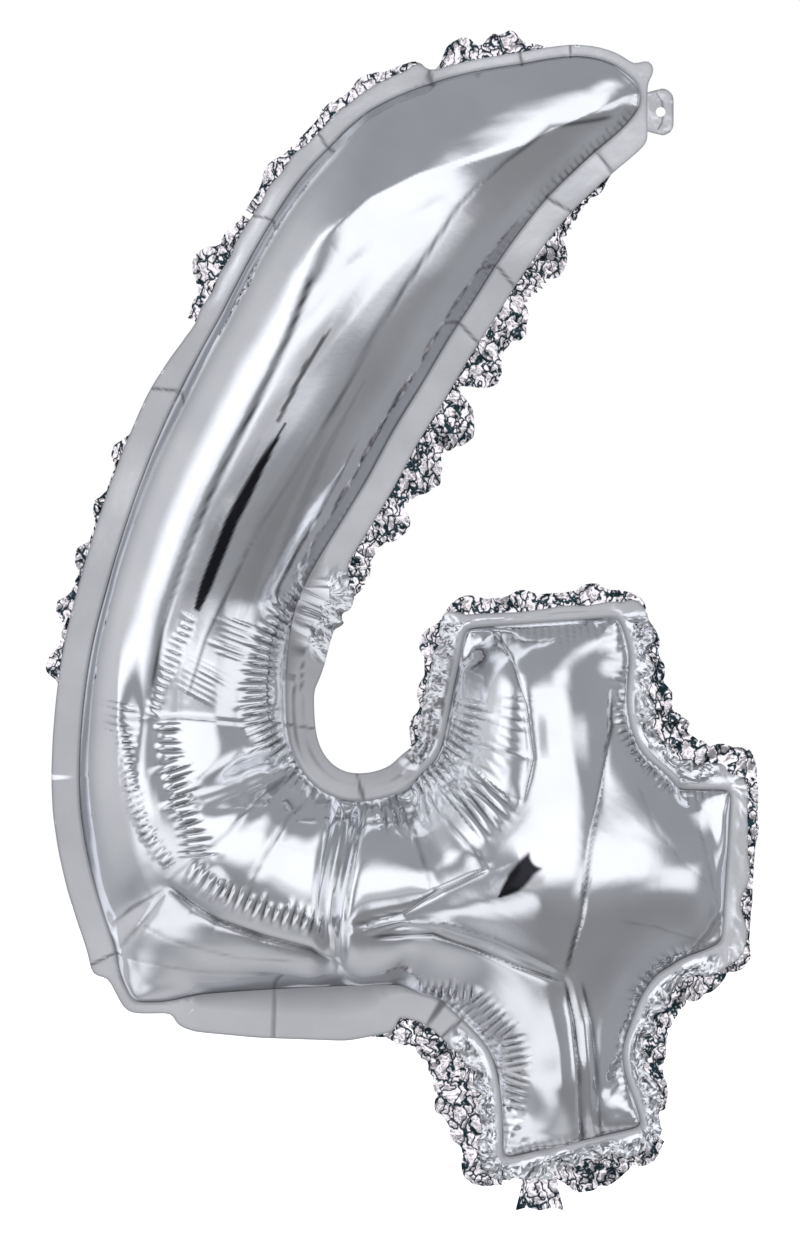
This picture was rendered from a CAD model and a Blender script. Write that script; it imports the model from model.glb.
"""Foil number balloon: the looks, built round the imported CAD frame.

The film is blown up by a small cloth solver on a grid over the numeral's plan. The seal line and the
margin's edge come from the CAD margin. Fine pleats, creases and crimps are then pressed into the mesh.
Lengths are in millimetres until a mesh is made.
"""
import math
from collections import Counter, defaultdict

import bpy
import numpy as np
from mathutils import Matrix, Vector
from mathutils.geometry import delaunay_2d_cdt

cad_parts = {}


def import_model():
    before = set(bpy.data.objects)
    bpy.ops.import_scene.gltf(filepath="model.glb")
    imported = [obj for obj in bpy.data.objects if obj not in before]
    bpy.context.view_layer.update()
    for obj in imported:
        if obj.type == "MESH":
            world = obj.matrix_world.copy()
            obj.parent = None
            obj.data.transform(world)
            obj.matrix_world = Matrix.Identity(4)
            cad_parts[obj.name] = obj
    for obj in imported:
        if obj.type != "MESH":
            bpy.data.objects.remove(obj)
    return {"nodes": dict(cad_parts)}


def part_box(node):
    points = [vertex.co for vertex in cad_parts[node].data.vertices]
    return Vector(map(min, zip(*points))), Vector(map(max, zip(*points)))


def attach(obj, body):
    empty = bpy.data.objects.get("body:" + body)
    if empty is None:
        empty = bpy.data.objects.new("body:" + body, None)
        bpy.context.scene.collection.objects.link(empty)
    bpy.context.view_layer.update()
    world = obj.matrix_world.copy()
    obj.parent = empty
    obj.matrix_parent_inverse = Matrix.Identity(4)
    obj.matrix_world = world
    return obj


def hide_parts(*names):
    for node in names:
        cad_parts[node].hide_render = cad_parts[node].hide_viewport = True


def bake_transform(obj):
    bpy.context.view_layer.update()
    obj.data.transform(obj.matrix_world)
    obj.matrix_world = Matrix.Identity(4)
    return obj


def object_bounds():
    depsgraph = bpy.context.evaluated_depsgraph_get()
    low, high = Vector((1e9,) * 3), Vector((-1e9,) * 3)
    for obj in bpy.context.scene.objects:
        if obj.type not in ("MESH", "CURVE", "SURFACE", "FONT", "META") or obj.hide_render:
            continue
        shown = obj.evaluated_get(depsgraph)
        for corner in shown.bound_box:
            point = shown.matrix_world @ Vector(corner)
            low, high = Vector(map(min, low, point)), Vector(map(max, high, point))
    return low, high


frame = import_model()
cad_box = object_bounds()

MM = 0.001
F32 = np.float32
ROOT = "foil_body"
PLY_FACE_Y = -0.4        # front face of the margin's front ply in the CAD
PLY_GAP = 0.25           # half the distance between the two plies of the margin
OUTWARD = (-1, 1)        # which way along Y the front side and the back side face

# ---------------------------------------------------------------- outlines from the frame


def node_mesh(node):
    """Vertices in mm, welded, and triangles of a CAD node."""
    mesh = frame["nodes"][node].data
    co = np.zeros(len(mesh.vertices) * 3)
    mesh.vertices.foreach_get("co", co)
    mesh.calc_loop_triangles()
    tri = np.zeros(len(mesh.loop_triangles) * 3, int)
    mesh.loop_triangles.foreach_get("vertices", tri)
    points, index = np.unique(np.round(co.reshape(-1, 3) / MM, 3), axis=0, return_inverse=True)
    return points, index.ravel()[tri].reshape(-1, 3)


def loop_area(loop):
    """The area inside a closed outline, below zero where it runs clockwise."""
    x, z = loop[:, 0], loop[:, 1]
    return 0.5 * np.sum(x * np.roll(z, -1) - np.roll(x, -1) * z)


def face_loops(node, y):
    """Closed outlines (x, z) of a node's flat face at y, largest first."""
    points, tris = node_mesh(node)
    flat = tris[(np.abs(points[tris][..., 1] - y) < 0.01).all(1)]
    edges = Counter()
    for a, b, c in flat.tolist():
        edges.update((frozenset((a, b)), frozenset((b, c)), frozenset((c, a))))
    near = defaultdict(list)
    for edge, uses in edges.items():
        if uses == 1:
            a, b = edge
            near[a].append(b)
            near[b].append(a)
    loops, seen = [], set()
    for start in sorted(near):
        if start in seen:
            continue
        chain, here = [start], start
        seen.add(start)
        while True:
            onward = [n for n in near[here] if n not in seen]
            if not onward:
                break
            here = onward[0]
            seen.add(here)
            chain.append(here)
        loops.append(points[chain][:, [0, 2]])
    return sorted(loops, key=lambda l: -abs(loop_area(l)))


def inside(x, z, loop):
    """Whether each point is inside a closed outline."""
    result = np.zeros(x.shape, bool)
    for (ax, az), (bx, bz) in zip(loop, np.roll(loop, -1, 0)):
        if az != bz:
            result ^= ((az > z) != (bz > z)) & (x < (bx - ax) * (z - az) / (bz - az) + ax)
    return result


def nearest(x, z, loop):
    """Distance to an outline, the nearest point on it, and how far along it that is."""
    best = np.full(x.shape, 1e9)
    near_x, near_z, run = x.copy(), z.copy(), np.zeros(x.shape)
    start = 0.0
    for (ax, az), (bx, bz) in zip(loop, np.roll(loop, -1, 0)):
        dx, dz = bx - ax, bz - az
        length = math.hypot(dx, dz)
        if length < 1e-6:
            continue
        t = np.clip(((x - ax) * dx + (z - az) * dz) / length ** 2, 0, 1)
        px, pz = ax + t * dx, az + t * dz
        d = (x - px) ** 2 + (z - pz) ** 2
        closer = d < best
        best = np.where(closer, d, best)
        near_x, near_z = np.where(closer, px, near_x), np.where(closer, pz, near_z)
        run = np.where(closer, start + t * length, run)
        start += length
    return np.sqrt(best), near_x, near_z, run


def laid_out(loop):
    """An outline with its first point again at the end, its steps, and how far along each point is."""
    closed = np.vstack([loop, loop[:1]])
    steps = np.hypot(*np.diff(closed, axis=0).T)
    return closed, steps, np.concatenate([[0], np.cumsum(steps)])


def even_loop(loop, spacing):
    """A closed outline again, with points at even steps."""
    closed, _, starts = laid_out(loop)
    s = np.arange(int(starts[-1] / spacing)) * starts[-1] / int(starts[-1] / spacing)
    return np.column_stack([np.interp(s, starts, closed[:, k]) for k in (0, 1)])


def rounded_loop(loop, spread):
    """A closed outline with its corners eased over about spread mm."""
    even = even_loop(loop, 1.0)
    reach = np.arange(-int(3 * spread), int(3 * spread) + 1)
    weights = np.exp(-0.5 * (reach / spread) ** 2)
    soft = sum(w * np.roll(even, k, 0) for k, w in zip(reach, weights)) / weights.sum()
    return soft[::2]


OUTER, SEAL = (rounded_loop(loop, 2.0) for loop in face_loops("seal_margin_front", PLY_FACE_Y)[:2])

# ---------------------------------------------------------------- where the film is slack or drawn tight

# Bends, where the film has length to spare and pleats: centre x, z, radius where the pleats start,
# radius where they are full, radius where they end, start and end angle in degrees, spare length.
BENDS = [
    (-91, -178, 22, 36, 84, 165, 385, 0.06),
    (-83, -312, 24, 34, 56, 10, 120, 0.04),
    (6, -196, 10, 18, 34, 150, 290, 0.05),
    (10, -284, 12, 20, 36, 90, 215, 0.05),
]

# Folds, which draw the film tight: film length over plan length, half-width, points.
FOLDS = [
    (1.10, 1.8, [(-103, -261), (-101, -238), (-98, -223), (-96, -214)]),
    (1.06, 2.4, [(-97, -252), (-80, -248), (-68, -240), (-55, -234)]),
    (1.04, 2.4, [(-153, -240), (-145, -246), (-137, -251), (-123, -257), (-108, -260), (-102, -263),
                 (-97, -272)]),
    (1.04, 2.0, [(-171, -252), (-164, -246), (-153, -240)]),
    (1.04, 2.4, [(-91, -254), (-80, -251), (-68, -252), (-52, -257), (-31, -267)]),
    (1.04, 2.4, [(-30, -267), (-25.5, -281), (-23, -300), (-22, -320)]),
    (1.05, 2.4, [(-30, -267), (-25.5, -250), (-21.5, -223), (-18, -208), (-14.5, -190)]),
]

# Film width over plan width: a tube's half round, and less where strokes meet and at the bend's corner.
TUBE_STRETCH = 1.47
FLATTER = [(-33, -236, 46, 1.22), (-140, -240, 40, 1.34), (-20, 10, 85, 1.24)]   # x, z, radius, width


def smooth(x, a, b):
    """0 before a, 1 past b, and an easy curve between them."""
    t = np.clip((x - a) / (b - a), 0, 1)
    return t * t * (3 - 2 * t)


def around(a):
    """The sum of each inner grid value's four neighbours."""
    return a[:-2, 1:-1] + a[2:, 1:-1] + a[1:-1, :-2] + a[1:-1, 2:]


def blur(a, times):
    """A grid of values, each mixed with its four neighbours a number of times."""
    for _ in range(times):
        p = np.pad(a, ((1, 1), (1, 1)) + ((0, 0),) * (a.ndim - 2), mode="edge")
        a = (around(p) + 4 * p[1:-1, 1:-1]) / 8
    return a


def polyline(x, z, points):
    """Distance to an open line, its direction there, the share of it passed, and the side one is on."""
    best = np.full(x.shape, 1e9)
    tx, tz, run, side = (np.zeros(x.shape) for _ in range(4))
    start = 0.0
    for (ax, az), (bx, bz) in zip(points, points[1:]):
        dx, dz = bx - ax, bz - az
        length = math.hypot(dx, dz)
        t = np.clip(((x - ax) * dx + (z - az) * dz) / length ** 2, 0, 1)
        d = np.hypot(x - ax - t * dx, z - az - t * dz)
        closer = d < best
        best = np.where(closer, d, best)
        tx, tz = np.where(closer, dx / length, tx), np.where(closer, dz / length, tz)
        run = np.where(closer, start + t * length, run)
        side = np.where(closer, (x - ax) * dz - (z - az) * dx, side)
        start += length
    return best, tx, tz, run / start, side


def bend_share(x, z, bend):
    """How much of a bend's spare length a place has, from 0 to 1."""
    cx, cz, starts, full, ends, first, last, _ = bend
    radius = np.hypot(x - cx, z - cz)
    angle = np.degrees(np.arctan2(z - cz, x - cx)) % 360
    angle = np.where(angle < first - 60, angle + 360, angle)
    share = smooth(radius, starts, full) * (1 - smooth(radius, full + 0.4 * (ends - full), ends))
    return share * smooth(angle, first, first + 25) * (1 - smooth(angle, last - 25, last))


class Plan:
    """A grid over the numeral's plan, with its points drawn to the seal line and the margin's edge."""

    def __init__(self, pitch):
        self.pitch = pitch
        self.xs = np.arange(OUTER[:, 0].min() - 3 * pitch, OUTER[:, 0].max() + 4 * pitch, pitch)
        self.zs = np.arange(OUTER[:, 1].min() - 3 * pitch, OUTER[:, 1].max() + 4 * pitch, pitch)
        self.flat_x, self.flat_z = np.meshgrid(self.xs, self.zs)
        x, z = self.flat_x.copy(), self.flat_z.copy()
        in_body = inside(x, z, SEAL)
        to_seal, seal_x, seal_z, _ = nearest(x, z, SEAL)
        to_edge, edge_x, edge_z, _ = nearest(x, z, OUTER)
        self.seam = to_seal < 0.5 * pitch
        edge = (to_edge < 0.5 * pitch) & ~self.seam
        self.live = inside(x, z, OUTER) | edge | self.seam | in_body
        self.body = in_body | self.seam
        x[self.seam], z[self.seam] = seal_x[self.seam], seal_z[self.seam]
        x[edge], z[edge] = edge_x[edge], edge_z[edge]
        free = self.live & ~self.seam & ~edge
        for _ in range(12):
            for a in (x, z):
                a[1:-1, 1:-1] = np.where(free[1:-1, 1:-1], 0.25 * around(a), a[1:-1, 1:-1])
        self.x, self.z = x, z
        depth = nearest(x, z, SEAL)[0]
        self.depth = np.where(self.seam, 0, np.where(inside(x, z, SEAL), depth, -depth))

    def metric(self, slack, tightness):
        """The film's size over each place in the plan: the three terms of a 2 x 2 tensor."""
        grad_z, grad_x = np.gradient(self.depth, self.pitch)
        tensor = np.stack([grad_x * grad_x, grad_x * grad_z, grad_z * grad_z], -1) * self.body[..., None]
        tensor = blur(tensor, int(60 / self.pitch ** 2) + 6)
        tensor = tensor / np.maximum(tensor[..., 0] + tensor[..., 2], 1e-6)[..., None]
        width = np.full(self.x.shape, TUBE_STRETCH)
        for cx, cz, radius, value in FLATTER:
            near = np.exp(-(np.hypot(self.x - cx, self.z - cz) / radius) ** 4)
            width = width + (value - width) * near
        length = 1.0 + 0.012 * np.clip(self.depth / 2, 0, 1)
        for bend in BENDS:
            length = length + slack * bend[-1] * bend_share(self.x, self.z, bend) * (self.depth > 0)
        across = 1 + (width ** 2 - 1) * np.clip(self.depth / self.pitch, 0, 1)
        along = length ** 2
        a = along + (across - along) * tensor[..., 0]
        b = (across - along) * tensor[..., 1]
        c = along + (across - along) * tensor[..., 2]
        for tight, half_width, points in FOLDS:
            d, tx, tz, _, _ = polyline(self.x, self.z, points)
            w = tightness * np.exp(-(d / half_width) ** 2) * (self.depth > 0)
            nx, nz = -tz, tx
            tt = a * tx * tx + 2 * b * tx * tz + c * tz * tz
            nn = a * nx * nx + 2 * b * nx * nz + c * nz * nz
            tn = (a * tx * nx + b * (tx * nz + tz * nx) + c * tz * nz) * (1 - w)
            tt = tt + w * (np.minimum(tight ** 2, tt) - tt)
            a = tt * tx * tx + 2 * tn * tx * nx + nn * nx * nx
            b = tt * tx * tz + tn * (tx * nz + tz * nx) + nn * nx * nz
            c = tt * tz * tz + 2 * tn * tz * nz + nn * nz * nz
        return a, b, c


# ---------------------------------------------------------------- the film solver

STEPS_ACROSS = ((0, 1), (1, 0), (1, 1), (1, -1))


def shifted(dz, dx, rows, columns):
    """Two windows on a grid, one step apart."""
    low, high = slice(0, rows - dz), slice(dz, rows)
    if dx >= 0:
        return (low, slice(0, columns - dx)), (high, slice(dx, columns))
    return (low, slice(-dx, columns)), (high, slice(0, columns + dx))


class Film:
    """Two plies, front and back, that share the margin: springs, a little bending, and pressure."""

    SPRING = 0.18
    BEND = 0.015
    PRESSURE = 3e-4
    SEAM_HOLD = 0.25
    MARGIN_HOLD = 0.004

    def __init__(self, plan, slack, tightness, seed, start=None):
        self.plan = plan
        rows, columns = plan.x.shape
        live, body, seam = plan.live, plan.body, plan.seam
        inner, margin = body & ~seam, live & ~body
        self.shared, self.margin = live & ~inner, margin
        a, b, c = plan.metric(slack, tightness)
        self.area = float((np.sqrt(np.maximum(a * c - b * b, 0)) * live).sum() * plan.pitch ** 2)
        self.springs = [self.spring(p, q, inner, (a, b, c)) for p, q in
                        (shifted(dz, dx, rows, columns) for dz, dx in STEPS_ACROSS)]
        rng = np.random.default_rng(seed)
        self.at = np.zeros((2, 3, rows, columns), F32)
        if start is None:
            swell = np.minimum(np.sqrt(np.maximum(plan.depth, 0)) * 3.2, 20)
            self.at[:, 0], self.at[:, 2] = plan.x, plan.z
            self.at[0, 1], self.at[1, 1] = -swell, swell
        else:
            self.at[:] = start
        noise = rng.normal(size=(2, rows, columns)) * 0.06 * plan.pitch
        self.at[:, 1] += (noise * (plan.depth > 0)).astype(F32)
        self.at[:, 1, self.shared] += (0.5 * noise[0][self.shared]).astype(F32)
        self.speed = np.zeros_like(self.at)
        self.home = np.stack([plan.x, np.zeros_like(plan.x), plan.z]).astype(F32)
        self.cell = (body[:-1, :-1] & body[1:, :-1] & body[:-1, 1:] & body[1:, 1:]).astype(F32)
        full = np.zeros((rows, columns), bool)
        full[1:-1, 1:-1] = (live[1:-1, 1:-1] & live[:-2, 1:-1] & live[2:, 1:-1]
                            & live[1:-1, :-2] & live[1:-1, 2:])
        self.bending = (self.BEND * (full & ~seam) * np.where(margin, 1.4, 1)).astype(F32)

    def spring(self, p, q, inner, metric):
        """The springs between two windows on the grid: the windows, stiffness and length at rest."""
        plan, margin = self.plan, self.margin
        held = plan.live[p] & plan.live[q] & ~((inner[p] & margin[q]) | (margin[p] & inner[q]))
        dx, dz = plan.x[q] - plan.x[p], plan.z[q] - plan.z[p]
        a, b, c = (0.5 * (term[p] + term[q]) for term in metric)
        rest = np.sqrt(np.maximum(a * dx * dx + 2 * b * dx * dz + c * dz * dz, 1e-6))
        return p, q, (self.SPRING * held).astype(F32), rest.astype(F32)

    def force(self, side, out):
        """Writes the springs', the air's and the bending's force on each point of one side."""
        out[:] = 0
        x, y, z = self.at[side]
        for p, q, stiff, rest in self.springs:
            dx, dy, dz = x[q] - x[p], y[q] - y[p], z[q] - z[p]
            length = np.sqrt(dx * dx + dy * dy + dz * dz)
            length += 1e-6
            pull = (1 - rest / length) * stiff
            for i, d in enumerate((dx, dy, dz)):
                d *= pull
                out[i][p] += d
                out[i][q] -= d
        push = self.cell * F32(-OUTWARD[side] * self.PRESSURE / 8)
        ax, ay, az = (a[1:, 1:] - a[:-1, :-1] for a in (x, y, z))
        bx, by, bz = (a[1:, :-1] - a[:-1, 1:] for a in (x, y, z))
        for i, n in enumerate((ay * bz - az * by, az * bx - ax * bz, ax * by - ay * bx)):
            n *= push
            for corner in (out[i][:-1, :-1], out[i][1:, 1:], out[i][:-1, 1:], out[i][1:, :-1]):
                corner += n
        for i in range(3):
            a, bow = self.at[side, i], np.zeros_like(out[i])
            bow[1:-1, 1:-1] = around(a) - 4 * a[1:-1, 1:-1]
            bow *= self.bending
            out[i][1:-1, 1:-1] += (4 * bow[1:-1, 1:-1] - bow[:-2, 1:-1] - bow[2:, 1:-1]
                                   - bow[1:-1, :-2] - bow[1:-1, 2:])

    def settle(self, steps, keep):
        """Steps the film. keep is the share of its speed that is kept at each step."""
        force = np.zeros_like(self.at)
        shared, seam, margin = self.shared, self.plan.seam, self.margin
        for _ in range(steps):
            for side in (0, 1):
                self.force(side, force[side])
            mean = 0.5 * (force[0][:, shared] + force[1][:, shared])
            front = self.at[0]
            for side in (0, 1):
                force[side][:, shared] = mean
                force[side][:, seam] += self.SEAM_HOLD * (self.home[:, seam] - front[:, seam])
                force[side][1, margin] -= self.MARGIN_HOLD * front[1, margin]
            self.speed += force
            self.speed *= F32(keep)
            self.at += self.speed


def refine(film, plan):
    """A film's positions on a finer grid."""
    coarse = film.plan
    u = (plan.flat_x - coarse.xs[0]) / coarse.pitch
    v = (plan.flat_z - coarse.zs[0]) / coarse.pitch
    i = np.clip(np.floor(u).astype(int), 0, coarse.x.shape[1] - 2)
    j = np.clip(np.floor(v).astype(int), 0, coarse.x.shape[0] - 2)
    fu, fv = u - i, v - j
    corners = ((j, i, (1 - fu) * (1 - fv)), (j, i + 1, fu * (1 - fv)),
               (j + 1, i, (1 - fu) * fv), (j + 1, i + 1, fu * fv))
    shares = [(jj, ii, coarse.live[jj, ii] * np.maximum(w, 1e-4)) for jj, ii, w in corners]
    total = np.maximum(sum(w for _, _, w in shares), 1e-9)
    out = np.zeros((2, 3) + plan.x.shape, F32)
    for side in (0, 1):
        for axis in range(3):
            flat = (coarse.flat_x, 0, coarse.flat_z)[axis]
            shift = film.at[side, axis] - flat
            out[side, axis] = sum(w * shift[jj, ii] for jj, ii, w in shares) / total
            out[side, axis] += (plan.flat_x, 0, plan.flat_z)[axis]
    return out


COARSE_GRID, FINE_GRID = 2.4, 1.2


def blow_up():
    """The filled film, on a coarse grid first and then on a fine one."""
    coarse = Film(Plan(COARSE_GRID), slack=0.3, tightness=0.5, seed=3)
    coarse.settle(400, 0.985)
    coarse.settle(400, 0.95)
    plan = Plan(FINE_GRID)
    fine = Film(plan, slack=1.0, tightness=1.0, seed=4, start=refine(coarse, plan))
    fine.settle(300, 0.97)
    fine.settle(300, 0.94)
    fine.at = calm(fine.at, plan)
    return fine


# Where the film lies calmer than the solver leaves it: centre x, z, radius, blur steps.
CALM = [(-10, -235, 50, 110), (-40, -190, 42, 90), (-45, -290, 46, 60), (-150, -262, 40, 50),
        (-134, -158, 34, 60), (-90, -60, 110, 14), (-91, -178, 85, 8)]


def calm(at, plan):
    """Film positions with the solver's stray wrinkles smoothed out, away from the seal line."""
    out = at.astype(float)
    for cx, cz, radius, steps in CALM:
        near = np.exp(-(np.hypot(plan.x - cx, plan.z - cz) / radius) ** 6) * smooth(plan.depth, 1, 7)
        for side in (0, 1):
            soft = np.moveaxis(blur(np.moveaxis(out[side], 0, -1), steps), -1, 0)
            out[side] += near * (soft - out[side])
    return out


# ---------------------------------------------------------------- fine detail of the film


def arc(cx, cz, radius, first, last, step=6):
    """Points along an arc, angles in degrees."""
    count = max(2, int(abs(last - first) / step))
    turns = np.radians(np.linspace(first, last, count + 1))
    return [(cx + radius * math.cos(t), cz + radius * math.sin(t)) for t in turns]


COUNTER = (-91, -178)

# Rows of small pleats that lie across a line: height, pitch, half-length of a pleat, the line.
PLEATS = [
    (0.62, 2.5, 7.0, arc(*COUNTER, 33.5, 122, 352)),
    (0.80, 2.9, 7.5, [(-152, -189), (-152, -200), (-148.5, -210), (-145, -221), (-144, -230)]),
    (0.45, 2.2, 3.6, [(-166, -191), (-165, -202), (-163, -212), (-159, -223), (-152, -233)]),
    (0.70, 3.0, 5.5, [(-146, -234), (-135, -241), (-123, -246), (-111, -249.5), (-105, -251)]),
    (0.30, 2.2, 4.0, [(-158, -186), (-152, -172), (-147, -160), (-145, -156)]),
    (0.22, 1.7, 9.0, [(-133, -169), (-129, -158)]),
    (0.18, 1.8, 10.0, [(-143, -181), (-138, -171)]),
    (0.30, 2.2, 7.0, [(-168, -192), (-166, -183)]),
    (0.25, 2.9, 7.0, arc(*COUNTER, 46, 322, 356)),
    (0.80, 3.2, 12.0, arc(*COUNTER, 49, 306, 322)),
    (0.30, 3.0, 6.0, arc(*COUNTER, 42, 275, 304)),
    (0.55, 2.3, 5.5, [(-75, -272), (-58, -273), (-47, -285), (-44, -297), (-48, -310)]),
    (0.45, 2.3, 5.5, [(-68, -279), (-60, -286), (-57, -296), (-56, -306)]),
    (0.50, 2.3, 3.5, [(-12, -180), (-11, -190), (-7, -198), (-1, -205), (5, -210)]),
    (0.30, 2.6, 5.0, [(2, -262), (-6, -272), (-9, -290)]),
]

# Lines that a broad fold and a crease share: two down the arm, one down the stem, and six rays that
# leave the bend's outer edge for the counter.
ARM_OUTER = [(-107, -50), (-113, -66), (-121, -84), (-131, -103), (-139, -119), (-148, -142), (-154, -160),
             (-158, -180)]
ARM_INNER = [(-14, -1), (-35, -5), (-49, -16), (-63, -30), (-72, -44), (-89, -70), (-106, -101),
             (-127, -134), (-140, -163), (-146, -182)]
STEM = [(-54, -158), (-47, -168), (-42, -184), (-40, -200), (-43, -213)]
RAYS = [
    [(-153, -238), (-134, -223), (-123, -211), (-114, -205)],
    [(-127, -238), (-115, -218), (-109, -213)],
    [(-102, -261), (-101, -238), (-98, -222), (-96, -214)],
    [(-71, -240), (-76, -224), (-80, -214)],
    [(-54, -233), (-65, -221), (-73, -211)],
    [(-44, -213), (-58, -207), (-68, -202)],
]

# Broad folds that the film turns a corner at: height (below zero for a valley), reach to each side,
# points.
FOLD_LINES = [
    (0.9, 12, ARM_OUTER),
    (0.8, 11, ARM_INNER),
    (-1.6, 13, [(-31, -266), (-26, -250), (-22, -222), (-18, -207), (-14, -190), (-15, -178)]),
    (-1.6, 9, [(-30, -268), (-26, -281), (-23, -300), (-22, -322)]),
    (-1.2, 10, [(-97, -252), (-80, -248), (-68, -240), (-55, -234), (-44, -231)]),
    (-1.0, 8, [(-91, -255), (-80, -252), (-68, -253), (-52, -258), (-32, -267)]),
    (-1.4, 10, [(-172, -253), (-164, -247), (-153, -240), (-145, -246), (-137, -251), (-123, -256),
                (-108, -260), (-98, -264)]),
    (-3.5, 42, [(-168, -187), (-148, -187), (-130, -188), (-120, -189)]),
    (-0.7, 6, RAYS[0]),
    (-0.5, 5, RAYS[1]),
    (-0.9, 6, RAYS[2]),
    (-0.6, 5, RAYS[3]),
    (-0.7, 6, RAYS[4]),
    (-0.5, 5, RAYS[5]),
    (-0.5, 8, STEM),
    (1.5, 18, [(-112, -50), (-104, -40), (-90, -28), (-75, -21), (-43, -11), (-20, 1), (-6, 6)]),
    (0.9, 13, [(-66, -18), (-45, -10), (-28, -3), (-12, 2)]),
    (-0.35, 8, [(-116, -70), (-100, -52), (-80, -36), (-66, -27)]),
    (0.18, 6, [(-118, -92), (-100, -70), (-84, -52), (-70, -36)]),
]

DENT = (-1.7, 17, -146, -158)      # a soft dent above the bend: height, radius, x, z

# Creases: height (below zero for a groove), half-width, how dark the crease is, points.
CREASES = [
    (0.50, 0.9, 0.35, [(-170, -188), (-148, -187), (-130, -188.5), (-116, -189)]),
    (0.45, 0.9, 0.40, RAYS[0]),
    (0.40, 0.8, 0.40, RAYS[1]),
    (0.70, 1.0, 0.45, RAYS[2]),
    (-0.50, 0.8, 0.50, [(-98, -262), (-97, -240), (-94, -224), (-92, -215)]),
    (0.45, 0.9, 0.40, RAYS[3]),
    (0.45, 0.9, 0.40, RAYS[4]),
    (0.40, 0.8, 0.40, RAYS[5]),
    (0.30, 0.8, 0.35, [(-41, -200), (-55, -196), (-65, -195)]),
    (-0.55, 0.8, 0.55, [(-97, -252), (-80, -248), (-68, -240), (-55, -234)]),
    (-0.90, 1.1, 0.85, [(-153, -240), (-145, -246), (-137, -251), (-123, -256), (-108, -260),
                        (-102, -263)]),
    (0.50, 1.0, 0.30, [(-171, -252), (-164, -246), (-153, -240)]),
    (-0.35, 0.8, 0.40, [(-168, -260), (-160, -250), (-153, -241)]),
    (0.70, 1.3, 0.25, [(-91, -253), (-80, -250.5), (-68, -251), (-52, -256), (-32, -265)]),
    (-0.60, 0.8, 0.85, [(-91, -255.5), (-71, -254.5), (-58, -259), (-46, -264), (-31, -269)]),
    (-0.90, 0.9, 0.85, [(-30, -268), (-26.5, -282), (-24.5, -300), (-23.5, -322)]),
    (0.80, 1.2, 0.0, [(-27.5, -268), (-23.8, -282), (-21.8, -300), (-20.8, -322)]),
    (-0.40, 0.6, 0.75, [(-25, -268), (-21.3, -282), (-19.3, -300), (-18.3, -322)]),
    (-0.35, 0.8, 0.85, [(-30, -267), (-25, -250), (-21, -222), (-18, -207), (-14, -190), (-15, -180)]),
    (-0.30, 0.6, 0.50, STEM),
    (-0.22, 0.8, 0.95, ARM_OUTER),
    (-0.16, 0.7, 0.75, ARM_INNER),
    (-0.05, 0.5, 0.25, [(-86, 9), (-79, 5), (-72, 7)]),
    (-0.10, 0.5, 0.30, [(-163, -250), (-152, -256), (-130, -262), (-112, -263)]),
    (-0.08, 0.5, 0.25, [(-166, -262), (-145, -266), (-118, -267)]),
    (-0.05, 0.5, 0.20, [(-8, -207), (-2, -222), (6, -232), (16, -240)]),
    (-0.05, 0.5, 0.20, [(-14, -250), (-2, -252), (10, -256), (24, -262)]),
    (-0.05, 0.5, 0.20, [(10, -205), (12, -222), (16, -240), (22, -262)]),
]

# Strips of the front side that are darker, as if something dark were mirrored there: half-width, how
# dark, points.
STRIPS = [
    (2.1, 0.99, [(-116, -97), (-124, -111), (-132.5, -127), (-138.5, -142), (-144, -157)]),
    (0.8, 0.80, [(-101, -66), (-110, -80), (-119, -98)]),
    (3.5, 0.99, [(-50.5, -242.5), (-46, -238.5), (-42, -233.5), (-37, -229.5)]),
    (2.6, 0.14, [(-122, -98), (-131, -114), (-141, -137), (-149, -160)]),
    (3.0, 0.10, [(-108, -99), (-120, -122), (-132, -150), (-136, -165)]),
    (2.2, 0.12, [(-96, -84), (-112, -112), (-124, -138), (-130, -160)]),
    (1.4, 0.16, [(-91, -82), (-104, -106), (-116, -134), (-124, -160)]),
]

# Crimps along the seal line, stronger near these places: x, z, radius, height, length.
CRIMPS = [
    (-22, -16, 26, 0.26, 5),
    (-50, -55, 28, 0.16, 4),
    (-92, -150, 40, 0.16, 4),
    (-14, -166, 16, 0.30, 6),
    (4, -200, 18, 0.30, 6),
    (2, -268, 16, 0.30, 6),
    (-6, -296, 18, 0.26, 5),
    (-64, -284, 18, 0.34, 9),
    (-54, -308, 16, 0.30, 8),
    (-36, -157, 24, 0.12, 10),
    (-32, -322, 20, 0.25, 6),
]
CRIMP_PITCH = 2.3
CRIMP_REACH = 3.0        # how long a crimp is away from these places, where it has no height


def lattice(u, v, seed):
    """Smooth noise from -1 to 1 with one value per unit square."""
    table = np.random.default_rng(seed).uniform(-1, 1, (256, 256))
    i, j = np.floor(u).astype(int), np.floor(v).astype(int)
    fu, fv = u - i, v - j
    fu, fv = fu * fu * (3 - 2 * fu), fv * fv * (3 - 2 * fv)
    a, b = table[i % 256, j % 256], table[(i + 1) % 256, j % 256]
    c, d = table[i % 256, (j + 1) % 256], table[(i + 1) % 256, (j + 1) % 256]
    return a + (b - a) * fu + (c - a) * fv + (a - b - c + d) * fu * fv


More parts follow.
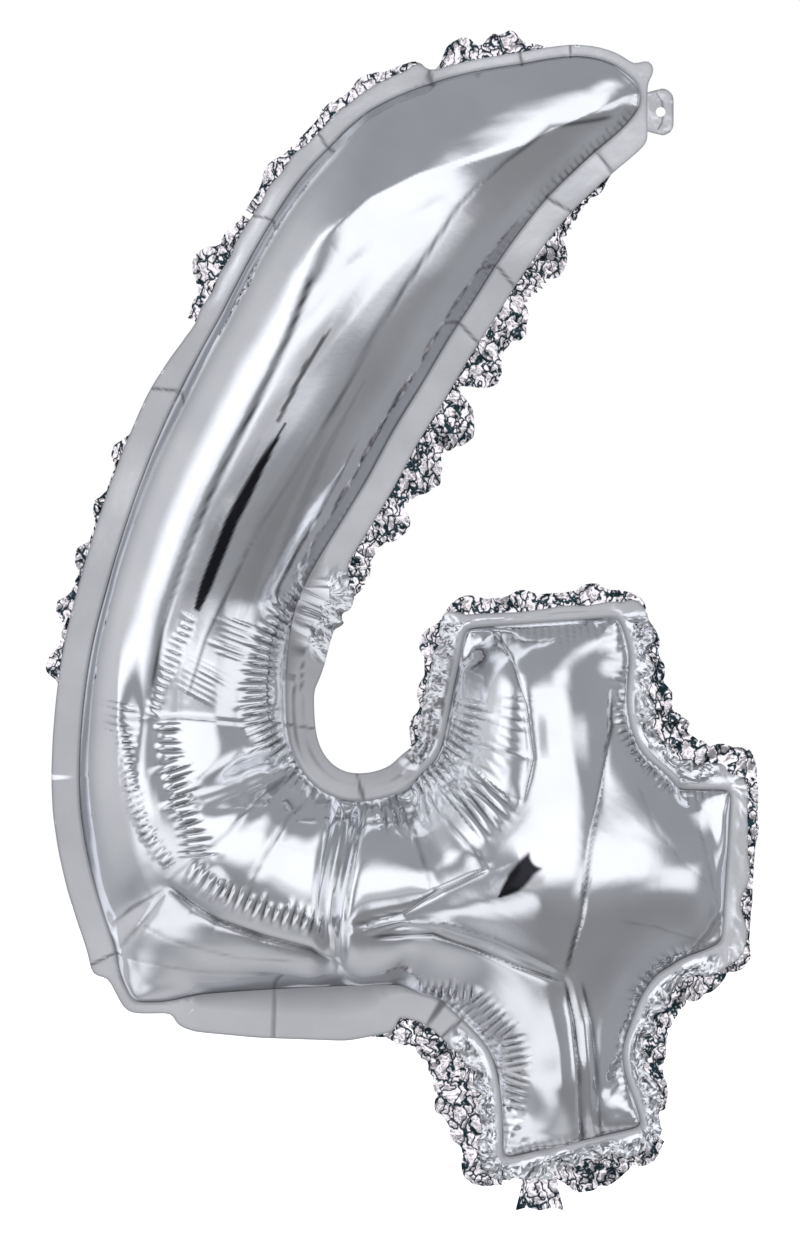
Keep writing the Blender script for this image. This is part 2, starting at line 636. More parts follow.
def pleat_row(run, d, pitch, reach, seed):
    """Rounded pleats, each of its own height and length, and the sharp valleys between them."""
    table = np.random.default_rng(seed).uniform(0, 1, (3, 512))
    place = run / pitch + 0.25 * lattice(run / (3 * pitch), run * 0, seed)
    i = np.floor(place).astype(int) % 512
    height = 0.55 + 0.6 * table[0, i]
    low, high = reach * (0.6 + 0.6 * table[1, i]), reach * (0.6 + 0.6 * table[2, i])
    ends = smooth(d, -low, -0.15 * low) * (1 - smooth(d, 0.15 * high, high))
    valley = np.exp(-((place + 0.5) % 1 - 0.5) ** 2 / 0.025)
    return height * np.sin(math.pi * (place % 1)) * ends, valley * height * ends


def signed_polyline(x, z, points):
    """Distance to an open line, below zero on one side of it, and how far along it that is."""
    d, _, _, share, side = polyline(x, z, points)
    length = sum(math.dist(a, b) for a, b in zip(points, points[1:]))
    return np.where(side < 0, -d, d), share * length


def darken(dark, value):
    """Keeps the darker of two values at each point."""
    np.maximum(dark, value, out=dark)


def press_pleats(out, dark, x, z, seed):
    """Adds the rows of small pleats to the heights and to the darkness."""
    for n, (height, pitch, reach, points) in enumerate(PLEATS):
        d, run = signed_polyline(x, z, points)
        inner = (run > 0.01) & (run < run.max() - 0.01)
        rise, valley = pleat_row(run, d, pitch, reach, seed + n)
        out += height * rise * inner
        darken(dark, 0.9 * valley * inner * min(1, height / 0.45))


def press_folds(out, x, z, to_seal):
    """Adds the broad folds and the dent to the heights."""
    for height, reach, points in FOLD_LINES:
        d, _, _, share, _ = polyline(x, z, points)
        ends = smooth(share, -0.05, 0.15) * (1 - smooth(share, 0.85, 1.05))
        out += height * np.clip(1 - d / reach, 0, 1) ** 2 * ends * smooth(to_seal, 0, 0.4 * reach)
    height, radius, cx, cz = DENT
    out += height * np.exp(-((x - cx) ** 2 + (z - cz) ** 2) / radius ** 2)


def press_creases(out, dark, x, z, seed):
    """Adds the creases, each darkest along its middle and fading at its ends."""
    for height, half_width, black, points in CREASES:
        d, _, _, share, _ = polyline(x, z, points)
        ends = 0.35 + 0.65 * np.sin(math.pi * np.clip(share, 0, 1)) ** 0.5
        out += height * np.exp(-(d / half_width) ** 1.3) * ends
        beyond = np.minimum(*(np.hypot(x - px, z - pz) for px, pz in (points[0], points[-1])))
        broken = 0.75 + 0.35 * lattice(share * 9, d * 0, seed + 70)
        line = np.exp(-(d / (0.85 * half_width)) ** 2)
        darken(dark, black * broken * line * smooth(beyond, 0, 5))


def press_crimps(out, dark, to_seal, seal_run, x, z, seed):
    """Adds the short crimps that start at the seal line."""
    height, reach = np.zeros(x.shape), np.full(x.shape, CRIMP_REACH)
    for cx, cz, radius, top, length in CRIMPS:
        near = np.exp(-(np.hypot(x - cx, z - cz) / radius) ** 4)
        height = height + (top - height) * near
        reach = reach + (length - reach) * near
    rise, valley = pleat_row(seal_run, to_seal - 0.3 * reach, CRIMP_PITCH, reach, seed + 50)
    out += height * rise
    darken(dark, 0.6 * valley * np.clip(height / 0.3, 0, 1))


def paint_strips(dark, x, z, strips):
    """Darkens the strips, each pointed at both ends."""
    for half_width, black, points in strips:
        d, _, _, share, _ = polyline(x, z, points)
        half = half_width * np.clip(share * 2.5, 0.02, 1) ** 0.7 * np.clip((1 - share) * 6, 0.02, 1) ** 0.5
        beyond = np.hypot(x - points[-1][0], z - points[-1][1])
        strip = (1 - smooth(d / half, 0.7, 1.15)) * smooth(beyond, half_width, half_width + 1)
        darken(dark, black * strip)


def relief(x, z, plan_x, plan_z, seed, strips=()):
    """How far each point of the film stands out, in mm, for its folds, and how dark they are there."""
    out, dark = np.zeros(x.shape), np.zeros(x.shape)
    to_seal, _, _, seal_run = nearest(plan_x, plan_z, SEAL)
    press_pleats(out, dark, x, z, seed)
    press_folds(out, x, z, to_seal)
    press_creases(out, dark, x, z, seed)
    paint_strips(dark, x, z, strips)
    press_crimps(out, dark, to_seal, seal_run, x, z, seed)
    seam = 0.7 * np.exp(-(to_seal / 0.8) ** 2) * (0.8 + 0.3 * lattice(seal_run / 6, x * 0, seed))
    darken(dark, seam)
    streaks = lattice(to_seal / 1.4, seal_run / 50, seed + 60) * 0.018
    streaks += lattice(to_seal / 4, seal_run / 80, seed + 61) * 0.035
    out += streaks * smooth(to_seal, 2, 8)
    out += 0.010 * lattice(x / 9, z / 9, seed + 62) + 0.002 * lattice(x / 2, z / 2, seed + 63)
    return out * smooth(to_seal, 0.0, 1.2), np.clip(dark, 0, 1)


# ---------------------------------------------------------------- meshes


def grid_faces(mask, flip):
    """Faces over a grid's chosen points: quads, and triangles where only three corners are in."""
    rows, columns = mask.shape
    corner = ((0, 0), (0, 1), (1, 1), (1, 0))
    index = np.arange(rows * columns).reshape(rows, columns)
    held = [mask[dz:rows - 1 + dz, dx:columns - 1 + dx] for dz, dx in corner]
    names = [index[dz:rows - 1 + dz, dx:columns - 1 + dx] for dz, dx in corner]
    count = sum(h.astype(int) for h in held)
    faces = np.stack([n[count == 4] for n in names], -1).tolist()
    for missing in range(4):
        cell = (count == 3) & ~held[missing]
        faces += np.stack([names[k][cell] for k in range(4) if k != missing], -1).tolist()
    if flip:
        faces = [f[::-1] for f in faces]
    return faces


def new_object(name, points, faces, plan=None):
    """A mesh object from points in mm. plan is each point's place on the flat pattern."""
    used = np.unique(np.concatenate([np.asarray(f) for f in faces]))
    place = np.zeros(len(points), int)
    place[used] = np.arange(len(used))
    mesh = bpy.data.meshes.new(name)
    mesh.from_pydata((points[used] * MM).tolist(), [], [[int(place[v]) for v in f] for f in faces])
    if plan is not None:
        mesh.attributes.new("plan", "FLOAT_VECTOR", "POINT")
        flat = np.column_stack([plan[used], np.zeros(len(used))])
        mesh.attributes["plan"].data.foreach_set("vector", flat.ravel())
    mesh.update()
    obj = bpy.data.objects.new(name, mesh)
    bpy.context.scene.collection.objects.link(obj)
    return obj


def arrays(obj):
    """An object's points, their normals, and their places on the flat pattern, in mm."""
    mesh = obj.data
    points, normals, plan = (np.zeros(len(mesh.vertices) * 3) for _ in range(3))
    mesh.vertices.foreach_get("co", points)
    mesh.vertices.foreach_get("normal", normals)
    if "plan" in mesh.attributes:
        mesh.attributes["plan"].data.foreach_get("vector", plan)
    return points.reshape(-1, 3) / MM, normals.reshape(-1, 3), plan.reshape(-1, 3)


def shade(obj, smooth_faces=True):
    """Shades a piece smooth, or in facets."""
    obj.data.polygons.foreach_set("use_smooth", [smooth_faces] * len(obj.data.polygons))
    obj.data.update()


def store_shadow(obj, dark):
    """Keeps how dark the folds are at each point, for the film's material."""
    obj.data.attributes.new("fold_shadow", "FLOAT", "POINT")
    obj.data.attributes["fold_shadow"].data.foreach_set("value", dark)


def face_out(obj, side):
    """Turns a ply's faces outwards."""
    if arrays(obj)[1][:, 1].mean() * OUTWARD[side] < 0:
        obj.data.flip_normals()


def resample(loop, spacing):
    """A closed outline with even steps, and its outward normals."""
    even = even_loop(loop, spacing)
    along = np.roll(even, -2, 0) - np.roll(even, 2, 0)
    along /= np.hypot(*along.T)[:, None]
    turn = 1 if loop_area(loop) > 0 else -1
    return even, np.column_stack([along[:, 1], -along[:, 0]]) * turn


def triangles(points, loops, keep):
    """A triangle mesh on plan points, with the loops (lists of point numbers) as edges."""
    edges = [(a, b) for loop in loops for a, b in zip(loop, loop[1:] + loop[:1])]
    places, _, faces, _, _, _ = delaunay_2d_cdt([Vector(p) for p in points.tolist()], edges, [], 0, 1e-5)
    places = np.array([(p.x, p.y) for p in places])
    faces = np.array([f for f in faces if len(f) == 3])
    middle = places[faces].mean(1)
    return places, faces[keep(middle[:, 0], middle[:, 1])]


def rings(even, normals, distances, loop):
    """Points at set distances inside an outline, without those that come nearer another part of it."""
    found = []
    for distance in distances:
        ring = even - distance * normals
        found.append(ring[nearest(ring[:, 0], ring[:, 1], loop)[0] > 0.93 * distance])
    return found


EDGE_PITCH = 0.75        # along the seal line and the margin's edge
BODY_PITCH = 0.95        # over the blown-up part
FINE_PITCH = 0.5         # where it has small folds
RIM = 3.0                # how far in from the seal line the film follows a smooth curve of its own
RIM_RINGS = (0.35, 0.8, 1.3, 1.9, 2.5)
MARGIN_RINGS = (0.7, 1.5, 2.4, 3.4, 4.4, 5.4, 6.4, 7.4)


def hexagons(pitch):
    """Points of a triangular grid over the numeral."""
    lows, highs = SEAL.min(0), SEAL.max(0)
    across = np.arange(lows[0], highs[0], pitch)
    rows = np.arange(lows[1], highs[1], pitch * 0.866)
    return np.concatenate([np.column_stack([across + (n % 2) * pitch / 2, np.full(len(across), z)])
                           for n, z in enumerate(rows)])


def is_detailed(x, z):
    """Where small folds need a finer mesh."""
    fine = np.zeros(x.shape, bool)
    for _, _, reach, points in PLEATS:
        fine |= polyline(x, z, points)[0] < reach + 1
    for _, half_width, _, points in CREASES:
        fine |= polyline(x, z, points)[0] < 2.2 * half_width
    for half_width, black, points in STRIPS:
        fine |= (polyline(x, z, points)[0] < 1.6 * half_width) & (black > 0.5)
    return fine


def body_plan():
    """Plan points and triangles of the blown-up part, fitted to the seal line."""
    even, normals = resample(SEAL, EDGE_PITCH)
    coarse, fine = (grid[inside(*grid.T, SEAL)] for grid in (hexagons(BODY_PITCH), hexagons(FINE_PITCH)))
    grid = np.vstack([coarse[~is_detailed(*coarse.T)], fine[is_detailed(*fine.T)]])
    grid = grid[nearest(*grid.T, SEAL)[0] > RIM_RINGS[-1] + 0.5 * EDGE_PITCH]
    points = np.vstack([even] + rings(even, normals, RIM_RINGS, SEAL) + [grid])
    return triangles(points, [list(range(len(even)))], lambda x, z: inside(x, z, SEAL))


def margin_plan():
    """Plan points and triangles of the margin, between the seal line and its outer edge."""
    even = even_loop(SEAL, EDGE_PITCH)
    edge, edge_normals = resample(OUTER, EDGE_PITCH)
    inner = np.vstack(rings(edge, edge_normals, MARGIN_RINGS, OUTER))
    inner = inner[~inside(*inner.T, SEAL)]
    inner = inner[nearest(*inner.T, SEAL)[0] > 0.5]
    points = np.vstack([even, edge, inner])
    loops = [list(range(len(even))), list(range(len(even), len(even) + len(edge)))]
    return triangles(points, loops, lambda x, z: inside(x, z, OUTER) & ~inside(x, z, SEAL))


def cubic(fields, u, v):
    """Smooth values between grid points."""
    i, j = np.floor(u).astype(int), np.floor(v).astype(int)
    weights = []
    for t in (u - i, v - j):
        weights.append((-0.5 * t + t * t - 0.5 * t ** 3, 1 - 2.5 * t * t + 1.5 * t ** 3,
                        0.5 * t + 2 * t * t - 1.5 * t ** 3, -0.5 * t * t + 0.5 * t ** 3))
    rows, columns = fields.shape[1:]
    total = 0
    for a in range(4):
        for b in range(4):
            jj, ii = np.clip(j + b - 1, 0, rows - 1), np.clip(i + a - 1, 0, columns - 1)
            total = total + weights[0][a] * weights[1][b] * fields[:, jj, ii]
    return total


def on_film(film, side, x, z):
    """Where plan points are on the blown-up film, in mm."""
    plan = film.plan
    flat = np.stack([plan.x, plan.z])
    u, v = (x - plan.xs[0]) / plan.pitch, (z - plan.zs[0]) / plan.pitch
    for _ in range(3):
        here = cubic(flat, u, v)
        u, v = u + (x - here[0]) / plan.pitch, v + (z - here[1]) / plan.pitch
    return cubic(film.at[side].astype(float), u, v).T


def film_points(film, side, x, z):
    """The blown-up film over plan points, with a smooth curve of its own up from the seal line."""
    out = on_film(film, side, x, z)
    d, sx, sz, _ = nearest(x, z, SEAL)
    near = d < RIM
    d, sx, sz, x, z = d[near], sx[near], sz[near], x[near], z[near]
    away = np.maximum(d, 1e-3)
    ux, uz = (x - sx) / away, (z - sz) / away
    top = on_film(film, side, sx + RIM * ux, sz + RIM * uz)
    further = on_film(film, side, sx + (RIM + 0.6) * ux, sz + (RIM + 0.6) * uz)
    foot = np.column_stack([sx, np.zeros(len(sx)), sz])
    leave = RIM * 1.5 * np.column_stack([0.35 * ux, np.full(len(ux), OUTWARD[side] * 0.94), 0.35 * uz])
    arrive = (further - top) / 0.6 * RIM
    t = (d / RIM)[:, None]
    out[near] = (foot * (2 * t ** 3 - 3 * t * t + 1) + leave * (t ** 3 - 2 * t * t + t)
                 + top * (3 * t * t - 2 * t ** 3) + arrive * (t ** 3 - t * t))
    return out


def film_piece(film, side, name, plan_points, faces):
    """One ply's blown-up part, from the seal line in."""
    x, z = plan_points.T
    points = film_points(film, side, x, z)
    obj = new_object(name, points, [f[::-1] if side == 0 else f for f in faces.tolist()], plan_points)
    face_out(obj, side)
    points, normals, flat = arrays(obj)
    strips = STRIPS if side == 0 else ()
    lift, dark = relief(points[:, 0], points[:, 2], flat[:, 0], flat[:, 1], 100 + 200 * side, strips)
    points = points + normals * lift[:, None]
    store_shadow(obj, dark)
    to_seal = nearest(flat[:, 0], flat[:, 1], SEAL)[0]
    points[:, 1] += OUTWARD[side] * PLY_GAP * np.exp(-to_seal / 1.5)
    obj.data.vertices.foreach_set("co", (points * MM).ravel())
    shade(obj)
    return obj


# Where a sharp kink crosses the margin.
KINKS = [(-19, -13), (-35, -27), (-50, -48), (-63, -65), (-71, 10), (-43, 15), (-28, 16), (-102, -12),
         (-118, -35), (-146, -88), (-71, -281), (-66, -286), (-120, -282), (-175, -262), (-108, -150),
         (-120, -190), (-92, -212)]
RIM_LINES = (2.6, 5.0)   # how far out from the seal line the counter's margin has its two dark lines
MARGIN_SEED = 7


def crumpled_share(x, z):
    """1 where the margin is crumpled, round the stem, crossbar and foot, and 0 where it lies smooth."""
    round_stem = smooth(x, -82, -74) * (1 - smooth(z, -160, -154)) * (1 - 0.85 * smooth(x, 12, 20))
    counter_top = 0.8 * np.exp(-(np.hypot(x + 99, z + 156) / 13) ** 4)
    stem_top = np.exp(-(np.hypot(x + 36, z + 156) / 22) ** 4)
    crossbar_end = np.exp(-(np.hypot(x - 26, z + 236) / 24) ** 4)
    foot_corner = (1 - smooth(x, -66, -60)) * smooth(-z, 262, 268)
    calmer = 1 - 0.7 * np.clip(stem_top + crossbar_end, 0, 1)
    return np.maximum(round_stem, counter_top) * (1 - foot_corner) * calmer


def drawn_in(x, z, to_seal, run):
    """How far the margin is drawn in towards the seal line, in mm, where its film is gathered."""
    arm_top = smooth(-x, 70, 85) * smooth(z, -90, -62) * smooth(z - 0.9 * x, 30, 50)
    stem_top = smooth(z, -160, -156) * (1 - smooth(z, -146, -140))
    stem_top = stem_top * smooth(x, -68, -62) * (1 - smooth(x, -12, -5))
    crossbar_end = smooth(x, 18, 23)
    pull = crumpled_share(x, z) * smooth(to_seal, 2.2, 8) * (1.4 + 1.6 * lattice(run / 4, run * 0, 17))
    for place, far, wobble, pitch, seed in ((arm_top, 2.6, 0.5, 6, 18), (stem_top, 4.2, 0.6, 7, 19),
                                            (crossbar_end, 2.2, 1.4, 9, 20)):
        uneven = far + wobble * lattice(run / pitch, run * 0, seed)
        pull += place * smooth(to_seal, 1.0, 8) * uneven
    return pull


def margin_lift(x, z, seed):
    """How far the margin bends out of its plane, in mm, for waves and kinks, and how dark it is there."""
    to_seal = nearest(x, z, SEAL)[0]
    to_edge, _, _, run = nearest(x, z, OUTER)
    share = np.clip(to_seal / 7, 0, 1)
    rng = np.random.default_rng(seed)
    lift = 0.22 * lattice(run / 24, run * 0, seed) * share
    dark = 0.5 * np.exp(-(to_seal / 0.6) ** 2)
    darken(dark, 0.45 * np.exp(-(to_edge / 0.5) ** 2))
    for kx, kz in KINKS:
        spot = nearest(np.array([float(kx)]), np.array([float(kz)]), OUTER)[3][0]
        slant, height = rng.uniform(-0.4, 0.4), rng.uniform(0.03, 0.07) * rng.choice((-1, 1))
        across = np.abs(run - spot - slant * to_seal)
        lift += height * np.exp(-across / 0.8) * (0.4 + 0.6 * share)
        darken(dark, 0.7 * np.exp(-(across / 0.5) ** 2))
    rim = 1 - smooth(np.hypot(x - COUNTER[0], z - COUNTER[1]), 26, 34)
    wander = 0.5 * lattice(run / 9, run * 0, 5)
    for line in RIM_LINES:
        darken(dark, 0.7 * rim * np.exp(-((to_seal - line + wander) / 0.45) ** 2))
    darken(dark, 0.22 * rim)
    crumpled = crumpled_share(x, z) * smooth(to_seal, 2.2, 4.5)
    rough = crumple(run, to_seal, 3.4, seed + 3)
    creased = crumple(run + 7, to_seal + 3, 2.2, seed + 9)
    darken(dark, 0.9 * np.exp(-(creased / 0.12) ** 2) * crumpled)
    return lift + 1.3 * rough * crumpled, dark


def margin_piece(side, name, plan_points, faces):
    """One ply of the margin outside the seal line."""
    x, z = plan_points.T
    to_seal, sx, sz, run = nearest(x, z, SEAL)
    y = margin_lift(x, z, MARGIN_SEED)[0] * smooth(to_seal, 0, 1.5) + OUTWARD[side] * PLY_GAP
    away = np.maximum(to_seal, 1e-3)
    pull = drawn_in(x, z, to_seal, run)
    points = np.column_stack([x - pull * (x - sx) / away, y, z - pull * (z - sz) / away])
    obj = new_object(name, points, faces.tolist(), plan_points)
    flat = arrays(obj)[2]
    store_shadow(obj, np.clip(margin_lift(flat[:, 0], flat[:, 1], MARGIN_SEED)[1], 0, 1))
    face_out(obj, side)
    middle = plan_points[faces].mean(1)
    smooth_faces = crumpled_share(*middle.T) * nearest(*middle.T, SEAL)[0] < 2.5
    obj.data.polygons.foreach_set("use_smooth", smooth_faces)
    obj.data.update()
    return obj


def crumple(u, v, cell, seed):
    """A crumpled sheet's height: flat facets that meet in sharp ridges."""
    rng = np.random.default_rng(seed)
    total = np.zeros(u.shape)
    for scale, weight in ((1.0, 1.0), (0.45, 0.4)):
        size = cell * scale
        table = rng.uniform(-1, 1, (128, 128))
        jitter = rng.uniform(-0.3, 0.3, (2, 128, 128))
        p, q = u / size, v / size
        i, j = np.floor(p).astype(int), np.floor(q).astype(int)
        fp = np.clip(p - i + jitter[0, i % 128, j % 128] * (p - i) * (1 - p + i), 0, 1)
        fq = np.clip(q - j + jitter[1, i % 128, j % 128] * (q - j) * (1 - q + j), 0, 1)
        a, b = table[i % 128, j % 128], table[(i + 1) % 128, j % 128]
        c, d = table[i % 128, (j + 1) % 128], table[(i + 1) % 128, (j + 1) % 128]
        low = a + (b - a) * fp + (d - b) * fq
        high = a + (d - c) * fp + (c - a) * fq
        total += weight * np.where(fp > fq, low, high)
    return total


GATHER_STEP = 1.0
GATHER_GROWTH = 1.3      # how far the arm's loose edges reach out, as a share of the CAD lumps
GATHER_ROOT = 5.5        # how far in behind the margin a gather starts
GATHER_CELL = 5.6        # width of its crumples
GATHER_PITCH = 0.7       # between its mesh's points along the edge
GATHER_ACROSS = 16       # points across it


def runs_of(node):
    """For each step along the margin's edge: how far a CAD gather stands out, and whether it is there."""
    points, tris = node_mesh(node)
    ends = np.stack([points[tris], points[np.roll(tris, 1, 1)]])
    points = np.vstack([(ends[0] * (1 - t) + ends[1] * t).reshape(-1, 3) for t in np.linspace(0, 1, 7)])
    far, _, _, run = nearest(points[:, 0], points[:, 2], OUTER)
    outside = ~inside(points[:, 0], points[:, 2], OUTER)
    bins = int(laid_out(OUTER)[2][-1] / GATHER_STEP) + 1
    reach, present = np.zeros(bins), np.zeros(bins, bool)
    for s, d, o in zip(run, far, outside):
        k = int(s / GATHER_STEP) % bins
        present[k] = True
        if o:
            reach[k] = max(reach[k], d)
    return reach, present


def edge_point(s):
    """Points and outward normals on the margin's edge, for runs s along it."""
    closed, steps, starts = laid_out(OUTER)
    s = s % starts[-1]
    x, z = np.interp(s, starts, closed[:, 0]), np.interp(s, starts, closed[:, 1])
    k = np.clip(np.searchsorted(starts, s, side="right") - 1, 0, len(steps) - 1)
    t = (closed[k + 1] - closed[k]) / steps[k][:, None]
    turn = 1 if loop_area(OUTER) > 0 else -1
    normal = np.column_stack([t[:, 1], -t[:, 0]]) * turn
    return x, z, normal


def widen(values, steps):
    """Spreads each value to its neighbours round a closed row."""
    out = values.copy()
    for k in range(1, steps + 1):
        out = np.maximum(out, np.maximum(np.roll(values, k), np.roll(values, -k)) * (1 - k / (steps + 1)))
    return out


def stretches(present):
    """Where each unbroken stretch of a closed row starts, and how many steps it has."""
    bins = len(present)
    for start in range(bins):
        if present[start] and not present[start - 1]:
            count = 0
            while present[(start + count) % bins] and count < bins:
                count += 1
            yield start, count


def gather_layer(s, tall, ends, layer, seed):
    """One crumpled sheet: how far out its points are, how deep behind the margin, and how far aside."""
    t = np.linspace(0, 1, GATHER_ACROSS)[None, :]
    outward = -GATHER_ROOT + (GATHER_ROOT + tall[:, None] * (1 - 0.25 * layer)) * t
    along = np.repeat(s[:, None], GATHER_ACROSS, 1)
    rough = crumple(along, outward + 40 + 90 * layer, GATHER_CELL, seed + layer)
    depth = 0.6 + 0.5 * layer + (1.4 + 1.3 * rough) * (0.25 + 0.75 * t) * ends[:, None]
    slide = 0.6 * crumple(along + 31, outward + 77, 4.1, seed + 5 + layer) * t
    return outward, np.maximum(depth, 0.35), slide


def gather_piece(node, seed):
    """A crumpled stretch of spare film behind the margin, as wide and as long as its CAD solid."""
    reach, present = runs_of(node)
    reach = widen(reach, 2)
    points, faces = [], []
    for start, count in stretches(widen(present.astype(float), 2) > 0.3):
        if count < 3:
            continue
        s = np.arange(start * GATHER_STEP, (start + count) * GATHER_STEP, GATHER_PITCH)
        x, z, normal = edge_point(s)
        ends = np.minimum(smooth(s, s[0], s[0] + 2), 1 - smooth(s, s[-1] - 2, s[-1]))
        tall = np.interp(s / GATHER_STEP % len(reach), np.arange(len(reach)), reach)
        tall = tall * (GATHER_GROWTH if "arm" in node else 1)
        tall = tall * (0.9 + 0.16 * crumple(s, s * 0, 6.0, seed)) * ends
        quads = grid_faces(np.ones((len(s), GATHER_ACROSS), bool), False)
        for layer in (0, 1):
            outward, depth, slide = gather_layer(s, tall, ends, layer, seed)
            px = x[:, None] + normal[:, 0:1] * outward - normal[:, 1:2] * slide
            pz = z[:, None] + normal[:, 1:2] * outward + normal[:, 0:1] * slide
            base = sum(len(p) for p in points)
            points.append(np.stack([px, depth, pz], -1).reshape(-1, 3))
            faces += [[base + corner for corner in quad] for quad in quads]
    obj = new_object(node + "_film", np.vstack(points), faces)
    shade(obj, False)
    return obj


def flat_fill(loops, pitch):
    """A fine flat mesh inside an outline, with the other outlines as holes."""
    lows, highs = loops[0].min(0), loops[0].max(0)
    xs = np.arange(lows[0] - 2 * pitch, highs[0] + 2 * pitch, pitch)
    zs = np.arange(lows[1] - 2 * pitch, highs[1] + 2 * pitch, pitch)
    x, z = np.meshgrid(xs, zs)
    held = inside(x, z, loops[0])
    for hole in loops[1:]:
        held &= ~inside(x, z, hole)
    best, bx, bz = np.full(x.shape, 1e9), x.copy(), z.copy()
    for loop in loops:
        d, nx, nz, _ = nearest(x, z, loop)
        closer = d < best
        best, bx, bz = np.where(closer, d, best), np.where(closer, nx, bx), np.where(closer, nz, bz)
    snap = best < 0.5 * pitch
    x, z = np.where(snap, bx, x), np.where(snap, bz, z)
    return x, z, held | snap


def plies(name, loops, pitch, shape):
    """Two plies of film, front and back, over an outline. shape gives the depth of a ply's points."""
    x, z, mask = flat_fill(loops, pitch)
    points, faces = [], []
    for side in (0, 1):
        y = shape(x, z, side)
        faces += [[v + side * x.size for v in f] for f in grid_faces(mask, side == 1)]
        points.append(np.column_stack([x.ravel(), y.ravel(), z.ravel()]))
    return new_object(name, np.vstack(points), faces)


# ---------------------------------------------------------------- materials


def fill(tree, node, values):
    """Sets a node's inputs, each to a number, a colour, or the output that feeds it."""
    for socket, value in values.items():
        if isinstance(value, bpy.types.NodeSocket):
            tree.links.new(value, node.inputs[socket])
        else:
            node.inputs[socket].default_value = value


def add(tree, kind, values):
    """A new node, with its inputs set."""
    node = tree.nodes.new(kind)
    fill(tree, node, values)
    return node


def noise(tree, place, scale, detail=2, roughness=0.5):
    """Soft noise over the object's places."""
    values = {"Vector": place, "Scale": scale, "Detail": detail, "Roughness": roughness}
    return add(tree, "ShaderNodeTexNoise", values)


def between(tree, value, low, high, start=0, end=1):
    """A number that goes from low to high as a value goes from start to end."""
    values = {"Value": value, "From Min": start, "From Max": end, "To Min": low, "To Max": high}
    return add(tree, "ShaderNodeMapRange", values).outputs["Result"]


def ramp(tree, value, stops):
    """A colour that goes through two stops, each a place and a colour, as a value rises."""
    node = add(tree, "ShaderNodeValToRGB", {"Fac": value})
    for n, (place, colour) in enumerate(stops):
        node.color_ramp.elements[n].position = place
        node.color_ramp.elements[n].color = (*colour, 1)
    return node.outputs["Color"]


def mix_colours(tree, factor, first, second):
    """The first colour at a factor of 0, the second at 1."""
    node = tree.nodes.new("ShaderNodeMix")
    node.data_type = "RGBA"
    fill(tree, node, {"Factor": factor, 6: first, 7: second})
    return node


def bump(tree, height, strength, distance):
    """A surface direction tilted by a height."""
    values = {"Height": height, "Strength": strength, "Distance": distance}
    return add(tree, "ShaderNodeBump", values).outputs["Normal"]


def new_material(name):
    """A material, its node tree, its shader, and the places on the object that its noises read."""
    material = bpy.data.materials.new(name)
    material.use_nodes = True
    tree = material.node_tree
    place = add(tree, "ShaderNodeTexCoord", {}).outputs["Object"]
    return material, tree, tree.nodes["Principled BSDF"], place


def foil_material(name, roughness, wrinkle, wrinkle_scale):
    """Bright metallised film: a mirror with a fine haze, small wrinkles and dark folds."""
    material, tree, shader, place = new_material(name)
    haze = noise(tree, place, 45, 5).outputs["Fac"]
    silver = ramp(tree, haze, ((0.3, (0.80, 0.81, 0.84)), (0.7, (0.88, 0.89, 0.91))))
    shadow = tree.nodes.new("ShaderNodeAttribute")
    shadow.attribute_name = "fold_shadow"
    deep = mix_colours(tree, shadow.outputs["Fac"], silver, (0.02, 0.02, 0.025, 1))
    small = noise(tree, place, wrinkle_scale, 4, 0.55).outputs["Fac"]
    fill(tree, shader, {
        "Metallic": 1,
        "Base Color": deep.outputs[2],
        "Roughness": between(tree, haze, roughness * 0.8, roughness * 1.4, 0.35, 0.70),
        "Normal": bump(tree, small, wrinkle, 0.0004),
    })
    return material


def crumpled_material(name):
    """The same film crumpled hard: facets a few mm wide, with dark lines where they meet."""
    material, tree, shader, place = new_material(name)
    bend = noise(tree, place, 260)
    shift = mix_colours(tree, 0.004, place, bend.outputs["Color"])
    shift.blend_type = "LINEAR_LIGHT"
    stretch = {"Vector": shift.outputs[2], "Rotation": (0, 0.6, 0), "Scale": (1, 1, 0.45)}
    long_way = add(tree, "ShaderNodeMapping", stretch).outputs["Vector"]
    facets = add(tree, "ShaderNodeTexVoronoi", {"Vector": long_way, "Scale": 300})
    facets.feature = "DISTANCE_TO_EDGE"
    to_ridge = facets.outputs["Distance"]
    fill(tree, shader, {
        "Metallic": 1,
        "Base Color": ramp(tree, to_ridge, ((0.045, (0.02, 0.04, 0.05)), (0.13, (0.92, 0.87, 0.89)))),
        "Roughness": between(tree, bend.outputs["Fac"], 0.10, 0.20),
        "Normal": bump(tree, to_ridge, 0.5, 0.0010),
    })
    return material


def valve_material(name, colour, roughness):
    """Clear, slightly milky valve film."""
    material, tree, shader, place = new_material(name)
    grain = noise(tree, place, 600).outputs["Fac"]
    fill(tree, shader, {
        "Base Color": colour,
        "Transmission Weight": 0.6,
        "IOR": 1.5,
        "Roughness": between(tree, grain, roughness * 0.7, roughness * 1.3),
        "Normal": bump(tree, grain, 0.2, 0.0002),
    })
    return material


def paint(obj, material):
    """Gives an object one material."""
    obj.data.materials.clear()
    obj.data.materials.append(material)


FOIL = foil_material("foil_film", 0.11, 0.10, 160)
CRUMPLED = crumpled_material("foil_crumpled_film")
VALVE = valve_material("valve_film_clear", (0.85, 0.88, 0.90, 1), 0.3)
PRINT = valve_material("release_print_grey", (0.30, 0.32, 0.36, 1), 0.6)


# ---------------------------------------------------------------- building the balloon


